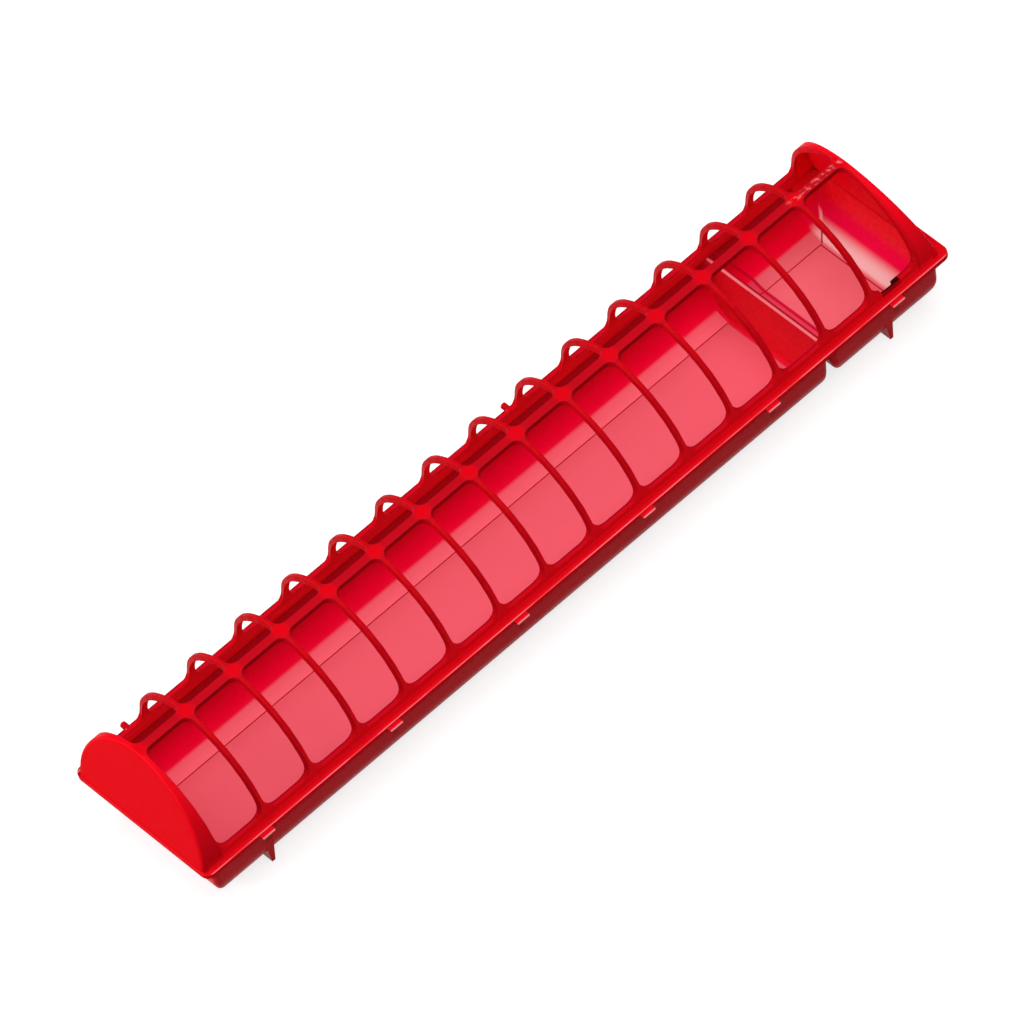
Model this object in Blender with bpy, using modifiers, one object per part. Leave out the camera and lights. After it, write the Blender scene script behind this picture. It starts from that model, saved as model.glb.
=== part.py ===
"""Poultry feeding trough.

A long tub and a short tub are moulded as one tray.
A domed grille stands over them and gives each bird its own bay on either side.
Lengths are in metres, the long axis is X, the clip side faces -Y and +Z is up.
"""

from math import cos, hypot, pi, radians, sin, sqrt

import bmesh
import bpy
import numpy as np
from mathutils import Matrix, Vector

MM = 0.001

# Overall sizes of the trough, over the rim of the grille.
LENGTH = 500.0 * MM
WIDTH = 102.0 * MM
HEIGHT = 83.4 * MM

# Height of the rim's underside above the floor the trough stands on.
RIM_BASE = 32.6 * MM

# Clearance kept between the two mouldings.
FIT_GAP = 0.3 * MM

# The rim of the grille: a level flange with a raised bead round its edge.
RIM_THICK = 2.0 * MM
RIM_REACH = 4.2 * MM
RIM_CORNER = 5.0 * MM
BEAD_WIDTH = 1.3 * MM
BEAD_RISE = 0.6 * MM
SEAT_DEPTH = 1.0 * MM
FOOT_FILLET = 2.4 * MM

# The dome of the grille, which stands a little off the middle of the rim.
SHELL = 3.0 * MM
SPRING_RISE = 4.9 * MM
SILL_RISE = 4.9 * MM
ARCH_POWER = 1.08
DOME_SHIFT = -2.0 * MM

# The sloping end panels, measured in from the ends of the rim.
PANEL_TOP_SET = 13.0 * MM
PANEL_FOOT_SET = 2.5 * MM
PANEL_THICK = 2.4 * MM
PANEL_EDGE = 1.6 * MM

# The bays between the hoops.
BAYS = 15
END_MARGIN = 14.6 * MM
HOOP_FACE = 2.0 * MM
HOOP_BACK = 4.0 * MM
RIDGE_BAR = 5.0 * MM
BAY_CORNER = 4.6 * MM
SILL_CORNER = 7.0 * MM

# The clips on the near rim, the pegs on the far rim and the slot in the sill.
CLIPS = 6
CLIP_LENGTH = 8.0 * MM
CLIP_REACH = 3.0 * MM
CLIP_THICK = 1.8 * MM
CLIP_EDGE = 0.5 * MM
END_TO_CLIP = 38.3 * MM
PEG_RADIUS = 1.8 * MM
PEG_REACH = 3.0 * MM
PEG_RISE = 0.4 * MM
PEG_PLACES = (-0.429, 0.081)
SLOT_LENGTH = 8.0 * MM
SLOT_WIDTH = 1.9 * MM

# The walls of the tray.
WALL = 1.8 * MM
END_OVERHANG = 5.0 * MM
SIDE_OVERHANG = 4.8 * MM
WALL_TAPER = 0.11
FOLD_TAPER = 0.16
TUB_RADIUS = 18.2 * MM
FOLD_RADIUS = 4.0 * MM
TUB_CORNER = 5.0 * MM
FLOOR_CORNER = 1.0 * MM
FLOOR_CREASE = radians(9.0)

# The fold that parts the long tub from the short one.
END_TO_FOLD = 80.0 * MM
FOLD_CREST = 2.6 * MM
RIM_BAND = 6.0 * MM

# The feet that carry the rounded tub level with its floor.
END_TO_FOOT = 41.5 * MM
FOOT_BASE = 6.0 * MM
FOOT_TIP = 2.0 * MM
FOOT_BITE = 0.9 * MM

# Fineness of the curves.
ARCH_STEPS = 40
BAY_STEPS = 5
BAY_CORNER_STEPS = 4
CORNER_STEPS = 5
TUB_STEPS = 10
PEG_STEPS = 20
FILLET_STEPS = 4

# How far a cutter runs past the face it cuts.
OVERRUN = 1.5 * MM

# Points closer than this count as lying on a cut.
SNAP = 0.002 * MM

# Sizes worked out from those above.
half_length = LENGTH / 2
half_width = WIDTH / 2
rim_top = RIM_BASE + RIM_THICK
sill_top = rim_top + SILL_RISE
arch_spring = rim_top + SPRING_RISE
arch_half = half_width - RIM_REACH
arch_rise = HEIGHT - arch_spring
seat_top = RIM_BASE + SEAT_DEPTH
tray_top = seat_top - FIT_GAP
tray_half_width = half_width - SIDE_OVERHANG
tray_half_length = half_length - END_OVERHANG
panel_slope = (PANEL_TOP_SET - PANEL_FOOT_SET) / (HEIGHT - rim_top)
pitch = (LENGTH - 2 * END_MARGIN) / BAYS
clip_spacing = (LENGTH - 2 * END_TO_CLIP) / (CLIPS - 1)


def clear_scene():
    """Start from an empty scene."""
    for item in list(bpy.data.objects):
        bpy.data.objects.remove(item, do_unlink=True)
    for group in list(bpy.data.collections):
        bpy.data.collections.remove(group)


def new_group(name):
    """Add a collection to the scene."""
    group = bpy.data.collections.new(name)
    bpy.context.scene.collection.children.link(group)
    return group


def add_body(name, bm, group):
    """Turn finished mesh data into an object of the group."""
    bmesh.ops.recalc_face_normals(bm, faces=bm.faces[:])
    mesh = bpy.data.meshes.new(name)
    bm.to_mesh(mesh)
    bm.free()
    body = bpy.data.objects.new(name, mesh)
    group.objects.link(body)
    return body


def add_helper(name, bm):
    """Add a body that is only joined to, or cut out of, another one."""
    helper = add_body(name, bm, helpers)
    helper.hide_render = True
    helper.display_type = "WIRE"
    return helper


def combine(body, helper, operation):
    """Join the helper to the body or cut it away."""
    step = body.modifiers.new(helper.name, "BOOLEAN")
    step.operation = operation
    step.solver = "EXACT"
    step.object = helper


def extrude_profile(outline, low, high):
    """Prism of a YZ outline between two X places."""
    bm = bmesh.new()
    face = bm.faces.new([bm.verts.new((low, y, z)) for y, z in outline])
    grown = bmesh.ops.extrude_face_region(bm, geom=[face])
    far_verts = [v for v in grown["geom"] if isinstance(v, bmesh.types.BMVert)]
    bmesh.ops.translate(bm, verts=far_verts, vec=(high - low, 0, 0))
    return bm


def arch_point(angle, half, rise):
    """Point of the arch, a little more pointed than an ellipse."""
    across = cos(angle)
    side = 1 if across >= 0 else -1
    y = side * half * abs(across) ** ARCH_POWER
    return y, arch_spring + rise * abs(sin(angle)) ** ARCH_POWER


def arch_profile(half, rise, base):
    """Outline of an arch with upright legs, from one foot over to the other."""
    points = [(half, base)]
    for step in range(ARCH_STEPS + 1):
        points.append(arch_point(pi * step / ARCH_STEPS, half, rise))
    points.append((-half, base))
    return points


def panel_place(height, inset, side):
    """X of an end panel's face at a given height."""
    reach = half_length - PANEL_TOP_SET + panel_slope * (HEIGHT - height) - inset
    return DOME_SHIFT + side * reach


def arch_body(half, rise, base, inset):
    """Arched prism whose two ends slope with the end panels."""
    bm = extrude_profile(arch_profile(half, rise, base), -half_length, half_length)
    for vert in bm.verts:
        side = 1 if vert.co.x > 0 else -1
        vert.co.x = panel_place(vert.co.z, inset, side)
    return bm


def round_panel_edges(bm):
    """Round the edges where the arch turns into its end panels."""
    bmesh.ops.recalc_face_normals(bm, faces=bm.faces[:])
    edges = []
    for edge in bm.edges:
        above = max(v.co.z for v in edge.verts) > rim_top
        ends = sum(abs(face.normal.x) > 0.5 for face in edge.link_faces)
        if above and ends == 1:
            edges.append(edge)
    bmesh.ops.bevel(
        bm,
        geom=edges,
        offset=PANEL_EDGE,
        segments=3,
        profile=0.5,
        affect="EDGES",
    )


def rounded_ring(low, high, half, corner):
    """Points of a rounded rectangle between two X places."""
    points = []
    centres = (
        (high - corner, half - corner, 0.0),
        (low + corner, half - corner, pi / 2),
        (low + corner, corner - half, pi),
        (high - corner, corner - half, 3 * pi / 2),
    )
    for x, y, start in centres:
        for step in range(CORNER_STEPS + 1):
            angle = start + pi / 2 * step / CORNER_STEPS
            points.append((x + corner * cos(angle), y + corner * sin(angle)))
    return points


def loft(rings):
    """Closed body through a stack of rings, each one a list of points and a height."""
    bm = bmesh.new()
    loops = []
    for points, height in rings:
        loops.append([bm.verts.new((x, y, height)) for x, y in points])
    count = len(loops[0])
    for lower, upper in zip(loops, loops[1:]):
        for i in range(count):
            j = (i + 1) % count
            bm.faces.new((lower[i], lower[j], upper[j], upper[i]))
    bm.faces.new(loops[0])
    bm.faces.new(loops[-1])
    return bm


def slab(low, high, half, corner, base, top):
    """Upright slab with a rounded rectangle as its outline."""
    points = rounded_ring(low, high, half, corner)
    return loft([(points, base), (points, top)])


def block(centre, size):
    """Plain box about a centre."""
    bm = bmesh.new()
    bmesh.ops.create_cube(bm, size=1.0)
    bmesh.ops.scale(bm, vec=Vector(size), verts=bm.verts)
    bmesh.ops.translate(bm, vec=Vector(centre), verts=bm.verts)
    return bm


def arch_table():
    """Run along the outer face of the far half of the dome, from the crown to the rim."""
    angles = np.linspace(pi / 2, 0.0, 600)
    points = [arch_point(float(a), arch_half, arch_rise) for a in angles]
    points = np.array([*points, (arch_half, RIM_BASE)])
    steps = np.diff(points, axis=0)
    run = np.concatenate([[0.0], np.cumsum(np.hypot(steps[:, 0], steps[:, 1]))])
    slope = np.gradient(points, run, axis=0)
    return run, points, slope


def wrap(x, run, lift):
    """Lay a point of the flat grille onto the arch."""
    y, z = (float(np.interp(run, arch_run, arch_points[:, i])) for i in (0, 1))
    along_y, along_z = (float(np.interp(run, arch_run, arch_slope[:, i])) for i in (0, 1))
    size = hypot(along_y, along_z)
    return x, y - lift * along_z / size, z + lift * along_y / size


def bay_cutter():
    """One bay on the far side, rounded while flat and then laid onto the arch."""
    down = arch_points[::-1]
    high = float(np.interp(sill_top, down[:, 1], arch_run[::-1]))
    low = RIDGE_BAR / 2
    half = (pitch - HOOP_FACE) / 2
    depth = SHELL + 2 * OVERRUN
    bm = block((0, (low + high) / 2, OVERRUN - depth / 2), (2 * half, high - low, depth))
    for place, corner in ((low, BAY_CORNER), (high, SILL_CORNER)):
        level = [v for v in bm.verts if abs(v.co.y - place) < SNAP]
        uprights = [e for e in bm.edges if all(v in level for v in e.verts)]
        uprights = [e for e in uprights if abs(e.verts[0].co.x - e.verts[1].co.x) < SNAP]
        bmesh.ops.bevel(
            bm,
            geom=uprights,
            offset=corner,
            segments=BAY_CORNER_STEPS,
            profile=0.5,
            affect="EDGES",
        )
    middle = np.linspace(low + BAY_CORNER, high - SILL_CORNER, BAY_STEPS + 1)
    corners = [v.co.y for v in bm.verts]
    levels = sorted({round(float(y), 6) for y in [*middle, *corners]})
    for level in levels[1:-1]:
        bmesh.ops.bisect_plane(
            bm,
            geom=bm.verts[:] + bm.edges[:] + bm.faces[:],
            dist=SNAP,
            plane_co=(0, level, 0),
            plane_no=(0, 1, 0),
        )
    draft = (HOOP_BACK - HOOP_FACE) / (2 * SHELL)
    for vert in bm.verts:
        x, run, lift = vert.co
        vert.co = wrap(x * (1 + draft * lift / half), run, lift)
    return bm


def all_bays():
    """Repeat the bay along the grille and mirror it to the near side."""
    bays = add_helper("bays", bay_cutter())
    row = bays.modifiers.new("row", "ARRAY")
    row.count = BAYS
    row.use_relative_offset = False
    row.use_constant_offset = True
    row.constant_offset_displace = (pitch, 0, 0)
    start = DOME_SHIFT - pitch * (BAYS - 1) / 2
    bays.data.transform(Matrix.Translation((start, 0, 0)))
    both = bays.modifiers.new("both_sides", "MIRROR")
    both.use_axis = (False, True, False)
    both.use_mirror_merge = False
    return bays


def fillet_strip(side):
    """Concave strip that leads the upright foot of the dome out onto the rim."""
    centre_y = arch_half + FOOT_FILLET
    centre_z = rim_top + FOOT_FILLET
    outline = []
    for step in range(FILLET_STEPS + 1):
        angle = pi + pi / 2 * step / FILLET_STEPS
        y = centre_y + FOOT_FILLET * cos(angle)
        outline.append((side * y, centre_z + FOOT_FILLET * sin(angle)))
    outline.append((side * centre_y, rim_top - RIM_THICK / 2))
    outline.append((side * (arch_half - SHELL / 2), rim_top - RIM_THICK / 2))
    outline.append((side * (arch_half - SHELL / 2), centre_z))
    low = panel_place(rim_top, PANEL_EDGE + FOOT_FILLET, -1)
    high = panel_place(rim_top, PANEL_EDGE + FOOT_FILLET, 1)
    return extrude_profile(outline, low, high)


def clip_tab(place):
    """Flat tab that stands out from the near rim, with its corners rounded."""
    reach = CLIP_REACH + BEAD_WIDTH / 2
    centre = (place, -half_width - CLIP_REACH + reach / 2, rim_top - CLIP_THICK / 2)
    bm = block(centre, (CLIP_LENGTH, reach, CLIP_THICK))
    outer = [e for e in bm.edges if all(v.co.y < -half_width for v in e.verts)]
    bmesh.ops.bevel(
        bm,
        geom=outer,
        offset=CLIP_EDGE,
        segments=2,
        profile=0.5,
        affect="EDGES",
    )
    return bm


def peg(place):
    """Round peg that stands out from the far rim."""
    bm = bmesh.new()
    depth = PEG_REACH + RIM_REACH
    bmesh.ops.create_cone(
        bm,
        cap_ends=True,
        segments=PEG_STEPS,
        radius1=PEG_RADIUS,
        radius2=PEG_RADIUS,
        depth=depth,
    )
    bmesh.ops.rotate(bm, verts=bm.verts, matrix=Matrix.Rotation(pi / 2, 3, "X"))
    centre_y = half_width + PEG_REACH - depth / 2
    bmesh.ops.translate(bm, verts=bm.verts, vec=(place, centre_y, rim_top + PEG_RISE))
    return bm


def make_grille():
    """Domed grille with its rim, end panels, clips, pegs and slot."""
    bead_top = rim_top + BEAD_RISE
    rim = slab(-half_length, half_length, half_width, RIM_CORNER, RIM_BASE, bead_top)
    body = add_body("grille", rim, parts)

    inner = half_length - BEAD_WIDTH
    flat_half = half_width - BEAD_WIDTH
    flat_corner = RIM_CORNER - BEAD_WIDTH
    flat = slab(-inner, inner, flat_half, flat_corner, rim_top, bead_top + OVERRUN)
    combine(body, add_helper("rim_flat", flat), "DIFFERENCE")

    dome = arch_body(arch_half, arch_rise, rim_top - RIM_THICK / 2, 0.0)
    round_panel_edges(dome)
    combine(body, add_helper("dome", dome), "UNION")
    for name, side in (("near_fillet", -1), ("far_fillet", 1)):
        combine(body, add_helper(name, fillet_strip(side)), "UNION")

    inner_half = arch_half - SHELL
    hollow = arch_body(inner_half, arch_rise - SHELL, rim_top, PANEL_THICK)
    combine(body, add_helper("dome_hollow", hollow), "DIFFERENCE")

    under = RIM_BASE - OVERRUN
    mouth_end = panel_place(rim_top, PANEL_THICK + FIT_GAP, 1)
    mouth = slab(-mouth_end, mouth_end, inner_half, TUB_CORNER, under, rim_top + OVERRUN)
    combine(body, add_helper("mouth", mouth), "DIFFERENCE")

    seat_half = tray_half_width + FIT_GAP
    seat_end = tray_half_length + FIT_GAP
    seat = slab(-seat_end, seat_end, seat_half, TUB_CORNER + FIT_GAP, under, seat_top)
    combine(body, add_helper("tray_seat", seat), "DIFFERENCE")

    combine(body, all_bays(), "DIFFERENCE")

    for number in range(CLIPS):
        place = (number - (CLIPS - 1) / 2) * clip_spacing
        combine(body, add_helper(f"clip_{number + 1}", clip_tab(place)), "UNION")
    for number, place in enumerate(PEG_PLACES):
        combine(body, add_helper(f"peg_{number + 1}", peg(place * LENGTH)), "UNION")

    slot_x = half_length - END_TO_CLIP
    slot_y = -inner_half - SLOT_WIDTH / 2 + OVERRUN / 2
    slot_size = (SLOT_LENGTH, SLOT_WIDTH + OVERRUN, 2 * SILL_RISE)
    slot = block((slot_x, slot_y, sill_top), slot_size)
    combine(body, add_helper("sill_slot", slot), "DIFFERENCE")
    return body


def tub_inset(height, radius, taper, skin):
    """How far a wall that rounds into the floor sits in from its rim."""
    stretch = sqrt(1 + taper * taper)
    inner = radius - skin
    meets = radius - inner * taper / stretch
    if height >= meets:
        return taper * (tray_top - height) + skin * stretch
    centre = radius * stretch - taper * radius + taper * tray_top
    rise = min(radius - height, inner)
    return centre - sqrt(inner * inner - rise * rise)


def tub_levels(radius, skin):
    """Heights of the rings that follow the rounding, from the rim to the floor."""
    inner = radius - skin
    levels = [tray_top + OVERRUN if skin else tray_top]
    start = WALL_TAPER
    end = pi / 2 - FLOOR_CREASE
    for step in range(TUB_STEPS + 1):
        angle = start + (end - start) * step / TUB_STEPS
        levels.append(radius - inner * sin(angle))
    return levels


def tub_body(low, high, folds, skin):
    """Inside or outside of one tub; folds tells which ends are the crisp fold walls."""
    rings = []
    for height in tub_levels(TUB_RADIUS, skin):
        side = tub_inset(height, TUB_RADIUS, WALL_TAPER, skin)
        ends = []
        for fold in folds:
            radius = FOLD_RADIUS if fold else TUB_RADIUS
            taper = FOLD_TAPER if fold else WALL_TAPER
            ends.append(tub_inset(height, radius, taper, skin))
        half = tray_half_width - side
        share = min(1.0, max(0.0, (height - skin) / (tray_top - skin)))
        corner = FLOOR_CORNER + (TUB_CORNER - skin - FLOOR_CORNER) * share
        points = rounded_ring(low + ends[0], high - ends[1], half, corner)
        rings.append((points, height))
    floor_points = rings[-1][0]
    rings[-1] = (floor_points, skin)
    return loft(rings[::-1])


def foot_body(place, side):
    """Foot under the rounded wall, its outer edge running on down the wall's line."""
    stretch = sqrt(1 + WALL_TAPER * WALL_TAPER)
    top = TUB_RADIUS * (1 - WALL_TAPER / stretch) + FOOT_BASE / 2
    outline = [(tray_half_width - WALL_TAPER * tray_top, 0.0)]
    outline.append((tray_half_width - WALL_TAPER * (tray_top - top), top))
    for step in range(TUB_STEPS + 1):
        angle = WALL_TAPER + (pi / 2 - 2 * WALL_TAPER) * step / TUB_STEPS
        height = TUB_RADIUS - (TUB_RADIUS - FOOT_BITE) * sin(angle)
        inset = tub_inset(height, TUB_RADIUS, WALL_TAPER, 0.0)
        outline.append((tray_half_width - inset - FOOT_BITE, height))
    outline.append((outline[-1][0], 0.0))
    outline = [(side * y, z) for y, z in outline]
    bm = extrude_profile(outline, -0.5, 0.5)
    for vert in bm.verts:
        width = FOOT_TIP + (FOOT_BASE - FOOT_TIP) * vert.co.z / top
        vert.co.x = place + vert.co.x * width
    return bm


def make_tray():
    """Long tub and short tub as one moulding, with four feet."""
    low = -tray_half_length
    high = tray_half_length
    rim = slab(low, high, tray_half_width, TUB_CORNER, tray_top - RIM_BAND, tray_top)
    body = add_body("tray", rim, parts)

    fold_place = half_length - END_TO_FOLD
    fold_low = fold_place - FOLD_CREST / 2 + WALL
    fold_high = fold_place + FOLD_CREST / 2 - WALL
    tubs = (
        ("long_tub", low, fold_low, (False, True)),
        ("short_tub", fold_high, high, (False, False)),
    )
    for name, start, end, folds in tubs:
        outside = tub_body(start, end, folds, 0.0)
        combine(body, add_helper(name, outside), "UNION")
    for end in (-1, 1):
        for side in (-1, 1):
            name = f"foot_{'left' if end < 0 else 'right'}_{'near' if side < 0 else 'far'}"
            foot = foot_body(end * (half_length - END_TO_FOOT), side)
            combine(body, add_helper(name, foot), "UNION")
    for name, start, end, folds in tubs:
        inside = tub_body(start, end, folds, WALL)
        combine(body, add_helper(f"{name}_inside", inside), "DIFFERENCE")
    return body


def add_plastic(body, name, colour):
    """Give the body its own glossy red plastic."""
    material = bpy.data.materials.new(name)
    material.use_nodes = True
    shader = material.node_tree.nodes["Principled BSDF"]
    shader.inputs["Base Color"].default_value = (*colour, 1.0)
    shader.inputs["Roughness"].default_value = 0.25
    body.data.materials.append(material)


def finish(body):
    """Smooth the rounded faces and keep the edges crisp."""
    body.data.shade_smooth()
    body.data.set_sharp_from_angle(angle=radians(30.0))


clear_scene()
parts = new_group("poultry_feeding_trough")
helpers = new_group("cutters")
arch_run, arch_points, arch_slope = arch_table()
tray = make_tray()
grille = make_grille()
add_plastic(tray, "tray_red", (0.62, 0.01, 0.02))
add_plastic(grille, "grille_red", (0.66, 0.01, 0.015))
finish(tray)
finish(grille)
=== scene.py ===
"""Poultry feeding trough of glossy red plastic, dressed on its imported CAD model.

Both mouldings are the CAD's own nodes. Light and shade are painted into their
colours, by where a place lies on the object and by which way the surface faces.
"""

import bpy
from mathutils import Matrix, Vector

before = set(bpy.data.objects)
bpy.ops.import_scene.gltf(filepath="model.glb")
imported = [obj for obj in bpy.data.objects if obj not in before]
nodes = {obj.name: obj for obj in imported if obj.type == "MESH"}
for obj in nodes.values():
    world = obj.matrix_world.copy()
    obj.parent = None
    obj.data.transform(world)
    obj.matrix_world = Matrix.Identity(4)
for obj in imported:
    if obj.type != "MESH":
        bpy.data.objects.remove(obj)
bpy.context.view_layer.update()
scene = bpy.context.scene


# In a pair of numbers below, a change of paint begins at the first and ends at
# the second. Places are in metres, directions are parts of a unit normal, and
# colours are linear. A share says how strongly a tint covers what is under it.

# Rows along the object: hoops, and clips.
HOOP_PITCH = 0.4708 / 15
HOOP_SHIFT = -0.002
CLIP_PITCH = 0.4234 / 5
CLIP_SHIFT = 0.0030

# Refraction of both plastics.
PLASTIC_IOR = 1.5

# Tray: skin, and a strip of painted shade under each clip.
TRAY_REDS = ((0.80, 0.003, 0.011), (0.72, 0.002, 0.009))
TRAY_GLOSS = 0.03
TRAY_ROUGHNESS = (0.26, 0.32)
FLOOR_ROUGHER = 0.2
CLIP_SHADE_HALF = (0.0014, 0.0022)
CLIP_SHADE_FOOT = (0.0160, 0.0200)
CLIP_SHADE_SIDE = (-0.0420, -0.0400)
CLIP_SHADE_RED = (0.22, 0.001, 0.004)
CLIP_SHADE_SHARE = 0.7

# Tray: inner walls, painted lighter at the foot and in shade towards the top, and the
# end walls with a painted highlight at their foot and a lit red above it.
INSIDE_UP = (0.01, 0.05)
WALL_RISE = (0.006, 0.032)
WALL_LIGHT_AND_SHADE_REDS = ((0.92, 0.001, 0.036), (0.46, 0.004, 0.013))
END_WALL = (0.2262, 0.2290)
END_FOOT = (0.0026, 0.0078)
END_FOOT_HIGHLIGHT_REDS = ((1.0, 0.66, 0.66), (0.92, 0.003, 0.070))
END_RISE = (0.0100, 0.0240)
END_TOP_LIT_RED = (0.90, 0.008, 0.020)

# Tray: left slope of the fold, painted as one evenly lit red.
SLOPE_LEFT = (0.1580, 0.1600)
SLOPE_RIGHT = (0.1695, 0.1700)
SLOPE_TURN = (-0.80, -0.60)
SLOPE_LIT_RED = (0.70, 0.007, 0.017)

# Tray: floor of the two tubs, on both sides of the fold, painted pale pink as a reflected
# sheen.
FLOOR_EDGE = (0.0044, 0.0058)
FLOOR_UP = (0.3, 0.4)
FOLD_LEFT = (0.1615, 0.1622)
FOLD_RIGHT = (0.1715, 0.1720)
FLOOR_FAR_EDGE = (0.0281, 0.0287)
FLOOR_SHEEN_PINKS = ((0.79, 0.103, 0.142), (0.96, 0.135, 0.184))
SHORT_TUB = (0.1700, 0.1720)
SHORT_TUB_SHEEN_PINK = (0.86, 0.158, 0.200)
FOLD_FOOT_LEFT = (0.1720, 0.1740)
FOLD_FOOT_RIGHT = (0.1868, 0.1872)
FOLD_FOOT_SHEEN_PINK = (0.78, 0.060, 0.120)

# Tray: painted highlight line on the fold's crest, and a line of painted shade to its
# right.
CREST = 0.1700
CREST_TOP = (0.0326, 0.0330)
CREST_REACH = (0.0440, 0.0445)
GLINT_LEFT = (-0.0014, -0.0010)
GLINT_RIGHT = (0.0000, 0.0005)
GLINT_PINK = (0.96, 0.22, 0.26)
GLINT_SHARE = 0.8
CREST_SHADE_LEFT = (0.0006, 0.0009)
CREST_SHADE_RIGHT = (0.0014, 0.0018)
CREST_SHADE_RED = (0.30, 0.001, 0.005)

# Tray: thin line of painted shade round the floor, where it turns up into the walls and
# the fold.
OUTLINE_SIDE = 0.0284
OUTLINE_STOP = (0.0284, 0.0286)
OUTLINE_FOLD = 0.1618
OUTLINE_END = 0.2255
OUTLINE_LIMIT = (0.2258, 0.2262)
OUTLINE_HALF = (0.00020, 0.00048)
OUTLINE_SHADE_RED = (0.42, 0.004, 0.014)

# Tray: slanted line of painted shade where the fold's right side meets the walls.
SLANT_START = 0.1872
SLANT_BASE = 0.0050
SLANT_LEAN = 0.45
SLANT_HALF = (0.0005, 0.0012)
SLANT_LIMIT = (0.1730, 0.1745)
SLANT_SHADE_RED = (0.60, 0.002, 0.036)

# Tray: painted shade along the crease in the corners of the end walls, and a painted
# highlight beyond it.
CORNER_START = 0.2262
CORNER_SIDE = -0.0284
CREASE_HALF = (0.0003, 0.0008)
CREASE_FROM = (0.0, 0.0004)
CREASE_TO = (0.0060, 0.0066)
CREASE_SHADE_RED = (0.42, 0.002, 0.020)
SPARK_HALF = (0.0006, 0.0014)
SPARK_FROM = (0.0066, 0.0076)
SPARK_TO = (0.0105, 0.0125)
SPARK_HIGHLIGHT_PINK = (1.0, 0.60, 0.60)

# Grille: skin, span of the windows, and what lies above the rim.
GRILLE_REDS = ((0.76, 0.002, 0.010), (0.68, 0.002, 0.008))
GRILLE_GLOSS = 0.008
GRILLE_ROUGHNESS = (0.34, 0.44)
WINDOW_SPAN = (0.2330, 0.2345)
ABOVE_RIM = (0.0352, 0.0362)
LEVEL_UP = (0.7, 0.8)

# Grille: bosses where the hoops cross the ridge, painted lighter as lit tops, and the
# ridge between them, streaked and painted darker as shade.
BOSS_LENGTH = (0.0010, 0.0060)
BOSS_WIDTH = (0.0020, 0.0062)
BOSS_FOOT = (0.0700, 0.0720)
BOSS_LIT_RED = (0.62, 0.001, 0.006)
RIDGE_FOOT = (0.0780, 0.0790)
RIDGE_SHADE_REDS = ((0.50, 0.003, 0.010), (0.38, 0.002, 0.008))

# Grille: hoops, painted darker as shade, with painted light on their inner faces and
# low on their outer faces. The product of y and the normal's y part is below zero on
# their inner faces and above zero on the outer ones.
HOOP_BESIDE_RIDGE = (0.005, 0.009)
HOOP_SHADE_REDS = ((0.62, 0.002, 0.008), (0.44, 0.001, 0.005))
HOOP_INNER = (-0.0300, -0.0100)
HOOP_INNER_LIT_REDS = ((0.98, 0.014, 0.026), (0.64, 0.004, 0.012))
HOOP_OUTER = (0.010, 0.040)
HOOP_OUTER_TOP = (0.0400, 0.0640)
HOOP_OUTER_LIT_RED = (0.96, 0.004, 0.012)

# Grille: foot of the far side, painted with the hoops' shade, and its rim, painted
# darker as shade with a painted highlight line along it.
FAR_SIDE = (0.0400, 0.0420)
FAR_TOP = (0.0400, 0.0460)
FAR_SHADE_SHARE = 0.75
BRIM_SIDE = (0.0466, 0.0470)
BRIM_TOP = (0.0360, 0.0366)
BRIM_SHADE_RED = (0.36, 0.002, 0.008)
BRIM_LINE = 0.0492
BRIM_LINE_HALF = (0.0003, 0.0007)
BRIM_HIGHLIGHT_PINK = (0.95, 0.22, 0.25)
BRIM_HIGHLIGHT_SHARE = 0.8

# Grille: right end panel, painted lighter as if evenly lit.
CAP_START = (0.2325, 0.2345)
CAP_LIT_RED = (0.98, 0.003, 0.014)
CAP_SHARE = 0.7

# Grille: level top of the sill, painted darker as shade, and its inner lip, painted darker
# still as shade.
LEDGE_FROM = (0.0385, 0.0390)
LEDGE_TO = (0.0400, 0.0405)
LEDGE_SHADE_RED = (0.56, 0.002, 0.008)
LIP_SIDE = (0.0445, 0.0450)
LIP_SHADE_RED = (0.34, 0.001, 0.010)

# Grille: edges, found by how far the Bevel node turns the normal, painted lighter as
# highlights. Some get more painted highlight, by how much the softened normal faces
# the left end.
BEVEL_RADIUS = 0.0006
EDGE_MATCH = (0.80, 0.97)
EDGE_HIGHLIGHT_RED = (0.98, 0.020, 0.030)
EDGE_HIGHLIGHT_SHARE = 0.35
LIT_FROM = (0.45, 0.62)
LIT_TO = (0.78, 0.92)
LIT_RED = (1.0, 0.05, 0.06)
LIT_SHARE = 0.4

# Grille: outer face of the left end panel, painted as one evenly lit red.
LEFT_PANEL = (-0.2340, -0.2325)
LEFT_PANEL_FACING = (0.5, 0.7)
LEFT_PANEL_LIT_RED = (0.82, 0.001, 0.007)

# Grille: broken painted highlight line along the near rim's bead, and painted
# highlights on the tips of the clips.
BEAD_FROM = (0.0349, 0.0351)
BEAD_TO = (0.0356, 0.0358)
BEAD_OUTER = (-0.0512, -0.0511)
BEAD_INNER = (-0.0504, -0.0501)
BEAD_BREAKS = (0.36, 0.62)
BEAD_SHARES = (0.25, 0.75)
BEAD_HIGHLIGHT_PINK = (1.0, 0.20, 0.22)
TIP_SIDE = (0.0532, 0.0536)
TIP_FROM = (0.0338, 0.0341)
TIP_TO = (0.0356, 0.0366)
TIP_HIGHLIGHT_PINK = (1.0, 0.32, 0.34)
TIP_SHARE = 0.8

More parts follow.
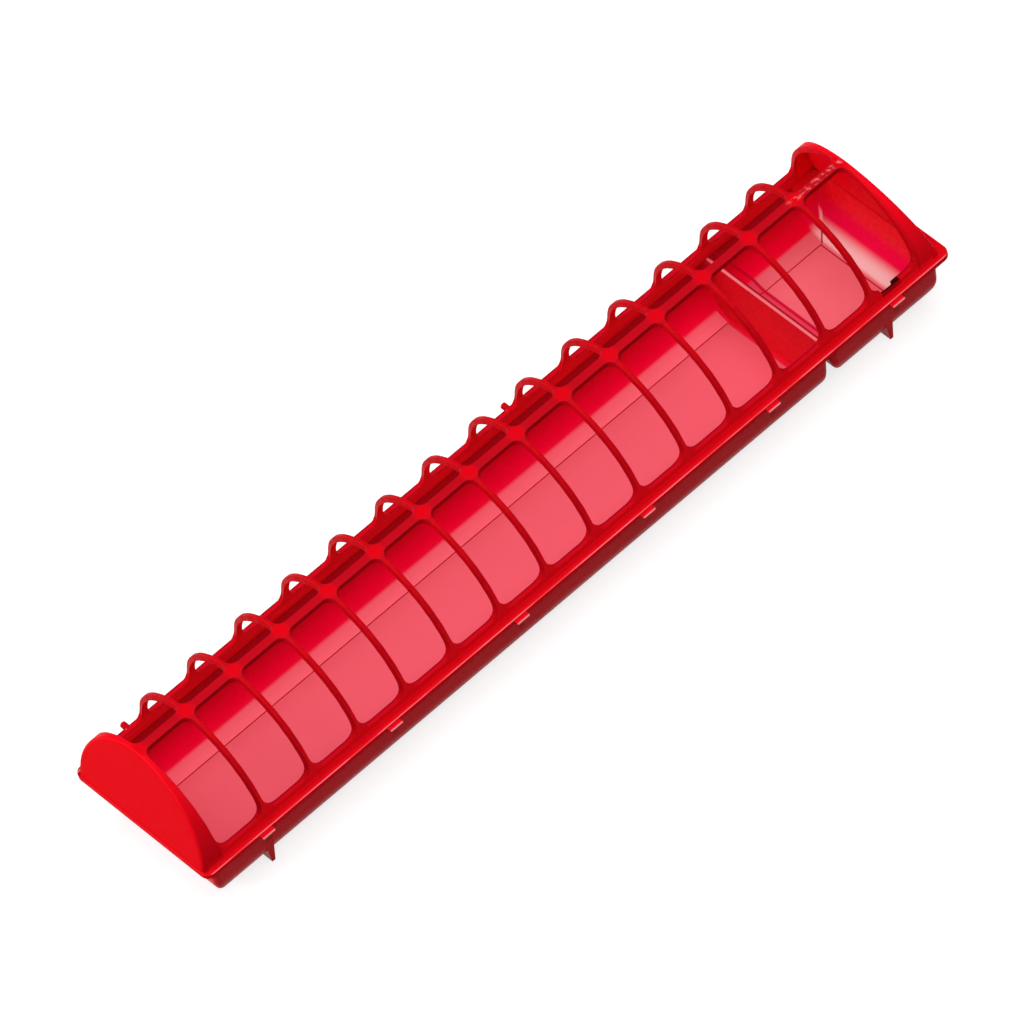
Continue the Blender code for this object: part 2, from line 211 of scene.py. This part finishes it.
# Grille: painted glints on the ridge near the right end, and a painted highlight on
# the edge of that end.
CROWN_START = (0.1960, 0.2000)
CROWN_FOOT = (0.0826, 0.0832)
CROWN_HALF = (0.0004, 0.0024)
CROWN_SPOTS = (0.46, 0.72)
CROWN_GLINT_PINK = (1.0, 0.26, 0.26)
CROWN_SHARE = 0.6
ARRIS_START = (0.2345, 0.2355)
ARRIS_FOOT = (0.0450, 0.0600)
ARRIS_FACING = (0.2, 0.4)
ARRIS_HIGHLIGHT_PINK = (1.0, 0.22, 0.20)
ARRIS_SHARE = 0.7

# Grille: painted deep shade in the bottom of the slot and on the sill beside it.
SLOT_LEFT = (0.2075, 0.2078)
SLOT_RIGHT = (0.2196, 0.2200)
SLOT_NEAR = (-0.0470, -0.0466)
SLOT_FAR = (-0.0430, -0.0420)
SLOT_TOP = (0.0402, 0.0406)
SLOT_SHADE_DARK = (0.03, 0.001, 0.002)

# Stage: floor and world. A strength of 1 is white.
FLOOR_SIZE = 8.0
FLOOR_DROP = 0.0002
FLOOR_GREY = 0.36
GLOW_DISTANCE = (0.5, 2.5)
GLOW_LEVELS = (0.78, 1.0)
WORLD_LIGHT = 0.02


class Shading:
    """Small helper that adds and joins the shader nodes of one tree."""

    def __init__(self, tree):
        self.tree = tree

    def node(self, kind, **values):
        """Add a node; values name its properties."""
        item = self.tree.nodes.new(kind)
        for name, value in values.items():
            setattr(item, name, value)
        return item

    def feed(self, socket, value):
        """Link an output to a socket, or set the socket to a plain value."""
        if isinstance(value, bpy.types.NodeSocket):
            self.tree.links.new(value, socket)
        else:
            socket.default_value = value

    def maths(self, operation, *values):
        """Arithmetic on one or two values."""
        item = self.node("ShaderNodeMath", operation=operation)
        for socket, value in zip(item.inputs, values):
            self.feed(socket, value)
        return item.outputs[0]

    def ramp(self, value, band, levels=(0.0, 1.0)):
        """Smooth step of a value, from the first level to the second."""
        item = self.node("ShaderNodeMapRange", interpolation_type="SMOOTHSTEP")
        names = ("From Min", "From Max", "To Min", "To Max")
        for name, number in zip(names, (*band, *levels)):
            item.inputs[name].default_value = number
        self.feed(item.inputs["Value"], value)
        return item.outputs["Result"]

    def fall(self, value, band):
        """Smooth step down, from 1 to 0."""
        return self.ramp(value, band, (1.0, 0.0))

    def between(self, value, start, stop):
        """1 from one band to another, and 0 outside them."""
        return self.all_of(self.ramp(value, start), self.fall(value, stop))

    def rest(self, share):
        """What a share leaves of 1."""
        return self.maths("SUBTRACT", 1.0, share)

    def away(self, value, centre):
        """Distance of a value from a centre."""
        return self.maths("ABSOLUTE", self.maths("SUBTRACT", value, centre))

    def nearest(self, value, pitch):
        """Distance from the nearest place of a row that has 0 midway between two."""
        beat = self.maths("FRACT", self.maths("DIVIDE", value, pitch))
        return self.maths("MULTIPLY", self.away(beat, 0.5), pitch)

    def all_of(self, first, *others):
        """Product of several shares."""
        for other in others:
            first = self.maths("MULTIPLY", first, other)
        return first

    def axes(self, vector):
        """The three parts of a vector."""
        item = self.node("ShaderNodeSeparateXYZ")
        self.feed(item.inputs[0], vector)
        return item.outputs

    def blend(self, share, first, second):
        """Mix two colours."""
        item = self.node("ShaderNodeMix", data_type="RGBA")
        for name, value in (("Factor", share), ("A", first), ("B", second)):
            if isinstance(value, tuple):
                value = (*value, 1.0)
            sockets = [s for s in item.inputs if s.name == name and s.enabled]
            self.feed(sockets[0], value)
        return [s for s in item.outputs if s.enabled][0]

    def coat(self, colour, tint, *shares):
        """Lay a tint over a colour where every share is high."""
        return self.blend(self.all_of(*shares), colour, tint)

    def seen(self):
        """1 where the camera looks, straight or by way of gloss or glass, else 0."""
        path = self.node("ShaderNodeLightPath").outputs
        first = self.maths("MAXIMUM", path["Is Camera Ray"], path["Is Glossy Ray"])
        return self.maths("MAXIMUM", first, path["Is Transmission Ray"])


class Surface(Shading):
    """Nodes of a new material."""

    def __init__(self, name):
        self.material = bpy.data.materials.new(name)
        self.material.use_nodes = True
        super().__init__(self.material.node_tree)
        self.shader = self.tree.nodes["Principled BSDF"]
        self.place = self.node("ShaderNodeTexCoord").outputs["Object"]

    def put(self, name, value):
        """Feed one of the shader's own sockets."""
        self.feed(self.shader.inputs[name], value)


class Moulding(Surface):
    """Nodes of a plastic that is painted by place and direction."""

    def __init__(self, name):
        super().__init__(name)
        self.x, self.y, self.z = self.axes(self.place)
        self.across = self.maths("ABSOLUTE", self.y)
        self.normal = self.node("ShaderNodeNewGeometry").outputs["Normal"]
        self.turn_x, self.turn_y, self.up = self.axes(self.normal)

    def noise(self, scale, detail, stretch=None):
        """Cloudy pattern between 0 and 1, stretched along an axis if asked."""
        vector = self.place
        if stretch:
            item = self.node("ShaderNodeMapping")
            item.inputs["Scale"].default_value = stretch
            self.feed(item.inputs["Vector"], vector)
            vector = item.outputs[0]
        item = self.node("ShaderNodeTexNoise")
        item.inputs["Scale"].default_value = scale
        item.inputs["Detail"].default_value = detail
        self.feed(item.inputs["Vector"], vector)
        return item.outputs["Fac"]

    def scuffs(self, detail, levels):
        """Roughness between two levels, in streaks along the object."""
        streak = self.noise(scale=60.0, detail=detail, stretch=(1.0, 4.0, 4.0))
        return self.ramp(streak, (0.35, 0.75), levels)

    def bump(self, height, depth, strength, normal=None):
        """Raise the surface by a pattern, on top of a given normal."""
        item = self.node("ShaderNodeBump")
        item.inputs["Strength"].default_value = strength
        item.inputs["Distance"].default_value = depth
        self.feed(item.inputs["Height"], height)
        if normal is not None:
            self.feed(item.inputs["Normal"], normal)
        self.put("Normal", item.outputs[0])


def tray_outside(kit):
    """Cloudy red with a strip of painted shade under each clip."""
    cloud = kit.noise(scale=9.0, detail=4.0, stretch=(1.0, 1.6, 1.6))
    beside = kit.nearest(kit.maths("SUBTRACT", kit.x, CLIP_SHIFT), CLIP_PITCH)
    # Painted shade: a darker strip on the wall under each clip.
    return kit.coat(
        kit.blend(cloud, *TRAY_REDS), CLIP_SHADE_RED,
        kit.fall(beside, CLIP_SHADE_HALF), kit.ramp(kit.z, CLIP_SHADE_FOOT),
        kit.fall(kit.y, CLIP_SHADE_SIDE), CLIP_SHADE_SHARE)


def tray_walls(kit, end, lit_end_wall):
    """Inner walls painted lighter at the foot and in shade above, the end walls with their
    painted highlight, and the fold's left slope painted as evenly lit.
    """
    # Painted light and shade: walls lighter at the foot, darker towards the top.
    wall = kit.blend(kit.ramp(kit.z, WALL_RISE), *WALL_LIGHT_AND_SHADE_REDS)
    wall = kit.blend(end, wall, lit_end_wall)
    # The fold's left slope, found by its normal, is painted as one evenly lit red.
    return kit.coat(
        wall, SLOPE_LIT_RED,
        kit.between(kit.x, SLOPE_LEFT, SLOPE_RIGHT), kit.fall(kit.turn_x, SLOPE_TURN))


def tray_floor(kit, end, lit_end_wall):
    """Floor painted pale pink as a reflected sheen: lighter along its far edge, and of its
    own painted pink in the short tub.
    """
    floor_sheen = kit.blend(kit.ramp(kit.y, FLOOR_FAR_EDGE), *FLOOR_SHEEN_PINKS)
    floor_sheen = kit.coat(floor_sheen, SHORT_TUB_SHEEN_PINK, kit.ramp(kit.x, SHORT_TUB))
    floor_sheen = kit.coat(
        floor_sheen, FOLD_FOOT_SHEEN_PINK, kit.between(kit.x, FOLD_FOOT_LEFT, FOLD_FOOT_RIGHT))
    return kit.blend(end, floor_sheen, lit_end_wall)


def crest_lines(kit, colour):
    """Painted highlight line and a line of painted shade beside it, on top of the fold."""
    step = kit.maths("SUBTRACT", kit.x, CREST)
    top = kit.all_of(kit.ramp(kit.z, CREST_TOP), kit.fall(kit.across, CREST_REACH))
    colour = kit.coat(
        colour, GLINT_PINK, kit.between(step, GLINT_LEFT, GLINT_RIGHT), top, GLINT_SHARE)
    return kit.coat(colour, CREST_SHADE_RED, kit.between(step, CREST_SHADE_LEFT, CREST_SHADE_RIGHT), top)


def floor_lines(kit, colour, along, flat, inside):
    """Lines of painted shade: round the floor, and slanted at the foot of the fold."""
    line = kit.away(kit.across, OUTLINE_SIDE)
    for distance in (kit.away(kit.x, OUTLINE_FOLD), kit.away(along, OUTLINE_END)):
        distance = kit.maths("ADD", distance, kit.ramp(kit.across, OUTLINE_STOP))
        line = kit.maths("MINIMUM", line, distance)
    colour = kit.coat(
        colour, OUTLINE_SHADE_RED,
        kit.fall(along, OUTLINE_LIMIT), flat, kit.fall(line, OUTLINE_HALF))

    climb = kit.maths("MAXIMUM", kit.maths("SUBTRACT", kit.z, SLANT_BASE), 0.0)
    lean = kit.maths("ADD", kit.x, kit.maths("MULTIPLY", climb, SLANT_LEAN))
    return kit.coat(
        colour, SLANT_SHADE_RED,
        kit.fall(kit.away(lean, SLANT_START), SLANT_HALF), inside,
        kit.ramp(kit.x, SLANT_LIMIT))


def corner_lines(kit, colour, along, inside):
    """Painted shade along the crease and a painted highlight, on the diagonal of each
    corner of the end walls.
    """
    run = kit.maths("SUBTRACT", along, CORNER_START)
    aside = kit.away(kit.maths("SUBTRACT", run, kit.across), CORNER_SIDE)
    colour = kit.coat(
        colour, CREASE_SHADE_RED,
        kit.fall(aside, CREASE_HALF), kit.between(run, CREASE_FROM, CREASE_TO), inside)
    return kit.coat(
        colour, SPARK_HIGHLIGHT_PINK,
        kit.fall(aside, SPARK_HALF), kit.between(run, SPARK_FROM, SPARK_TO), inside)


def tray_plastic():
    """Smooth red moulding: a floor painted pale as a reflected sheen, upper walls painted
    darker as shade, and fine scuffs.
    """
    kit = Moulding("tray_red")
    along = kit.maths("ABSOLUTE", kit.x)
    inside = kit.ramp(kit.up, INSIDE_UP)
    fold = kit.between(kit.x, FOLD_LEFT, FOLD_RIGHT)
    flat = kit.all_of(
        kit.fall(kit.z, FLOOR_EDGE), kit.rest(fold), kit.ramp(kit.up, FLOOR_UP))
    end = kit.ramp(along, END_WALL)
    # End walls: a painted highlight at the foot, fading to a lit red above.
    lit_end_wall = kit.blend(kit.ramp(kit.z, END_FOOT), *END_FOOT_HIGHLIGHT_REDS)
    lit_end_wall = kit.coat(lit_end_wall, END_TOP_LIT_RED, kit.ramp(kit.z, END_RISE))

    colour = kit.blend(inside, tray_outside(kit), tray_walls(kit, end, lit_end_wall))
    # Painted reflection: the floor's pale pink sheen.
    colour = kit.blend(flat, colour, tray_floor(kit, end, lit_end_wall))
    colour = crest_lines(kit, colour)
    colour = floor_lines(kit, colour, along, flat, inside)
    kit.put("Base Color", corner_lines(kit, colour, along, inside))

    kit.put("IOR", PLASTIC_IOR)
    kit.put("Specular IOR Level", TRAY_GLOSS)
    skin = kit.scuffs(4.0, TRAY_ROUGHNESS)
    kit.put("Roughness", kit.maths("ADD", skin, kit.all_of(flat, FLOOR_ROUGHER)))
    kit.bump(kit.noise(scale=30.0, detail=2.0), depth=0.0002, strength=0.4)
    return kit.material


def ridge_and_hoops(kit, colour, grid, apart):
    """Painted light and shade: lit bosses, a streaked shaded ridge, hoops with shaded and
    lit faces, and the foot of the far side in shade.
    """
    # Painted light on the bosses, and painted shade in streaks on the ridge between them.
    boss = kit.all_of(kit.fall(apart, BOSS_LENGTH), kit.fall(kit.across, BOSS_WIDTH))
    colour = kit.coat(colour, BOSS_LIT_RED, boss, kit.ramp(kit.z, BOSS_FOOT))
    streak = kit.noise(scale=90.0, detail=3.0, stretch=(0.25, 3.0, 3.0))
    colour = kit.coat(
        colour, kit.blend(streak, *RIDGE_SHADE_REDS),
        kit.ramp(kit.z, RIDGE_FOOT), kit.rest(boss), grid)

    # Painted shade on the hoops, lighter on their inner faces, and painted light low on
    # their outer faces.
    turned = kit.maths("MULTIPLY", kit.turn_y, kit.y)
    hoop_shading = kit.coat(
        kit.blend(streak, *HOOP_SHADE_REDS), kit.blend(streak, *HOOP_INNER_LIT_REDS),
        kit.fall(turned, HOOP_INNER))
    hoop = kit.coat(
        hoop_shading, HOOP_OUTER_LIT_RED,
        kit.ramp(turned, HOOP_OUTER), kit.fall(kit.z, HOOP_OUTER_TOP))
    colour = kit.coat(
        colour, hoop,
        kit.ramp(kit.z, ABOVE_RIM), kit.ramp(kit.across, HOOP_BESIDE_RIDGE), grid)
    # Painted shade on the foot of the far side.
    return kit.coat(
        colour, hoop_shading, kit.ramp(kit.y, FAR_SIDE), kit.fall(kit.z, FAR_TOP), FAR_SHADE_SHARE)


def rim_and_sill(kit, colour):
    """Far rim in painted shade with a painted highlight line, right end panel painted
    lighter, and sill and lip in painted shade.
    """
    # Painted shade on the far rim, with a painted highlight line along it.
    brim = kit.all_of(kit.ramp(kit.y, BRIM_SIDE), kit.fall(kit.z, BRIM_TOP))
    colour = kit.coat(colour, BRIM_SHADE_RED, brim)
    line = kit.fall(kit.away(kit.y, BRIM_LINE), BRIM_LINE_HALF)
    colour = kit.coat(colour, BRIM_HIGHLIGHT_PINK, brim, line, BRIM_HIGHLIGHT_SHARE)
    # Painted light: the right end panel made lighter.
    colour = kit.coat(
        colour, CAP_LIT_RED,
        kit.ramp(kit.x, CAP_START), kit.ramp(kit.z, ABOVE_RIM), CAP_SHARE)

    # Painted shade on the sill's level top and its inner lip.
    ledge = kit.all_of(
        kit.between(kit.z, LEDGE_FROM, LEDGE_TO), kit.ramp(kit.up, LEVEL_UP))
    colour = kit.coat(colour, LEDGE_SHADE_RED, ledge)
    return kit.coat(colour, LIP_SHADE_RED, ledge, kit.fall(kit.across, LIP_SIDE))


def edge_highlights(kit, colour, grid, rim, facing):
    """Painted highlights on edges, and the outer face of the left end panel painted as
    evenly lit.
    """
    # Painted highlights on the edges.
    colour = kit.coat(colour, EDGE_HIGHLIGHT_RED, rim, EDGE_HIGHLIGHT_SHARE)
    colour = kit.coat(
        colour, LIT_RED,
        kit.between(facing, LIT_FROM, LIT_TO),
        kit.maths("MAXIMUM", rim, kit.rest(grid)), LIT_SHARE)
    # The left end panel's outer face, painted as one evenly lit red.
    return kit.coat(
        colour, LEFT_PANEL_LIT_RED,
        kit.fall(kit.x, LEFT_PANEL), kit.ramp(facing, LEFT_PANEL_FACING), kit.rest(rim))


def small_lights(kit, colour, rim, facing):
    """Thin painted highlights on the near bead, the clips, the ridge and the right end."""
    gaps = kit.noise(scale=55.0, detail=2.0, stretch=(1.0, 0.1, 0.1))
    colour = kit.coat(
        colour, BEAD_HIGHLIGHT_PINK,
        kit.between(kit.z, BEAD_FROM, BEAD_TO), kit.ramp(kit.up, LEVEL_UP),
        kit.between(kit.y, BEAD_OUTER, BEAD_INNER),
        kit.ramp(gaps, BEAD_BREAKS, BEAD_SHARES))
    colour = kit.coat(
        colour, TIP_HIGHLIGHT_PINK,
        kit.ramp(kit.across, TIP_SIDE), kit.between(kit.z, TIP_FROM, TIP_TO), TIP_SHARE)
    spots = kit.noise(scale=420.0, detail=1.0)
    colour = kit.coat(
        colour, CROWN_GLINT_PINK,
        kit.ramp(kit.x, CROWN_START), kit.ramp(kit.z, CROWN_FOOT),
        kit.fall(kit.across, CROWN_HALF), kit.ramp(spots, CROWN_SPOTS), CROWN_SHARE)
    return kit.coat(
        colour, ARRIS_HIGHLIGHT_PINK,
        rim, kit.ramp(kit.x, ARRIS_START), kit.ramp(kit.z, ARRIS_FOOT),
        kit.ramp(facing, ARRIS_FACING), ARRIS_SHARE)


def grille_plastic():
    """Finely grained red moulding with a duller skin than the tray, painted highlights on
    its edges, and painted light and shade elsewhere.
    """
    kit = Moulding("grille_red")
    row = kit.maths("SUBTRACT", kit.x, HOOP_SHIFT)
    apart = kit.nearest(row, HOOP_PITCH)
    grid = kit.fall(kit.maths("ABSOLUTE", row), WINDOW_SPAN)
    edge = kit.node("ShaderNodeBevel", samples=4)
    edge.inputs["Radius"].default_value = BEVEL_RADIUS
    soft = edge.outputs[0]
    match = kit.node("ShaderNodeVectorMath", operation="DOT_PRODUCT")
    kit.feed(match.inputs[0], soft)
    kit.feed(match.inputs[1], kit.normal)
    rim = kit.fall(match.outputs["Value"], EDGE_MATCH)
    facing = kit.maths("MULTIPLY", kit.axes(soft)[0], -1.0)

    colour = kit.blend(kit.noise(scale=14.0, detail=4.0), *GRILLE_REDS)
    colour = ridge_and_hoops(kit, colour, grid, apart)
    colour = rim_and_sill(kit, colour)
    colour = edge_highlights(kit, colour, grid, rim, facing)
    colour = small_lights(kit, colour, rim, facing)
    # Painted deep shade in the slot's bottom and on the sill beside it.
    slot = kit.all_of(
        kit.between(kit.x, SLOT_LEFT, SLOT_RIGHT),
        kit.between(kit.y, SLOT_NEAR, SLOT_FAR), kit.fall(kit.z, SLOT_TOP))
    kit.put("Base Color", kit.coat(colour, SLOT_SHADE_DARK, slot))

    kit.put("IOR", PLASTIC_IOR)
    kit.put("Specular IOR Level", GRILLE_GLOSS)
    kit.put("Roughness", kit.scuffs(6.0, GRILLE_ROUGHNESS))
    grain = kit.noise(scale=900.0, detail=2.0)
    kit.bump(grain, depth=0.00005, strength=0.5, normal=soft)
    return kit.material


def floor_paint():
    """Pale floor that is near white to the camera and keeps the object's shadow."""
    kit = Surface("pale_floor")
    kit.put("Base Color", (FLOOR_GREY, FLOOR_GREY, FLOOR_GREY, 1))
    kit.put("Roughness", 0.9)
    kit.put("Specular IOR Level", 0.0)
    kit.put("Emission Color", (1, 1, 1, 1))
    length = kit.node("ShaderNodeVectorMath", operation="LENGTH")
    kit.feed(length.inputs[0], kit.place)
    glow = kit.ramp(length.outputs["Value"], GLOW_DISTANCE, GLOW_LEVELS)
    kit.put("Emission Strength", kit.maths("MULTIPLY", kit.seen(), glow))
    return kit.material


def lamp(name, size, place, aim, power):
    """Soft rectangular studio lamp aimed at a point."""
    data = bpy.data.lights.new(name, "AREA")
    data.shape = "RECTANGLE"
    data.size, data.size_y = size
    data.energy = power
    item = bpy.data.objects.new(name, data)
    item.location = place
    item.rotation_euler = (Vector(aim) - Vector(place)).to_track_quat("-Z", "Y").to_euler()
    scene.collection.objects.link(item)


# Both mouldings.
nodes["tray"].material_slots[0].material = tray_plastic()
nodes["grille"].material_slots[0].material = grille_plastic()

# Floor.
bpy.ops.mesh.primitive_plane_add(size=FLOOR_SIZE, location=(0, 0, -FLOOR_DROP))
floor = bpy.context.object
floor.name = "floor"
floor.data.materials.append(floor_paint())

# Light: a dim even world that is white where the camera sees it, and two lamps.
world = bpy.data.worlds.new("studio")
scene.world = world
world.use_nodes = True
sky = world.node_tree.nodes["Background"]
sky.inputs["Color"].default_value = (1, 1, 1, 1)
air = Shading(world.node_tree)
air.feed(sky.inputs["Strength"], air.maths("MAXIMUM", air.seen(), WORLD_LIGHT))

lamp("overhead_lamp", size=(2.4, 2.2), place=(0.1, -0.1, 1.4), aim=(0.1, 0, 0), power=38.5)
lamp("key_lamp", size=(0.9, 0.9), place=(-1.8, 0.6, 0.75), aim=(0, 0, 0.03), power=20.0)

# Camera: far off with a long lens, at the photograph's angle.
eye = bpy.data.cameras.new("camera")
eye.lens = 560.122
eye.sensor_width = 36.0
eye.clip_start = 0.5
eye.clip_end = 30.0
camera = bpy.data.objects.new("camera", eye)
camera.matrix_world = Matrix((
    (0.729743, 0.613744, -0.30132, -2.360786),
    (-0.654854, 0.500692, -0.566104, -4.431992),
    (-0.196575, 0.610431, 0.767289, 6.042570),
    (0.0, 0.0, 0.0, 1.0),
))
scene.collection.objects.link(camera)
scene.camera = camera

scene.view_settings.view_transform = "Standard"
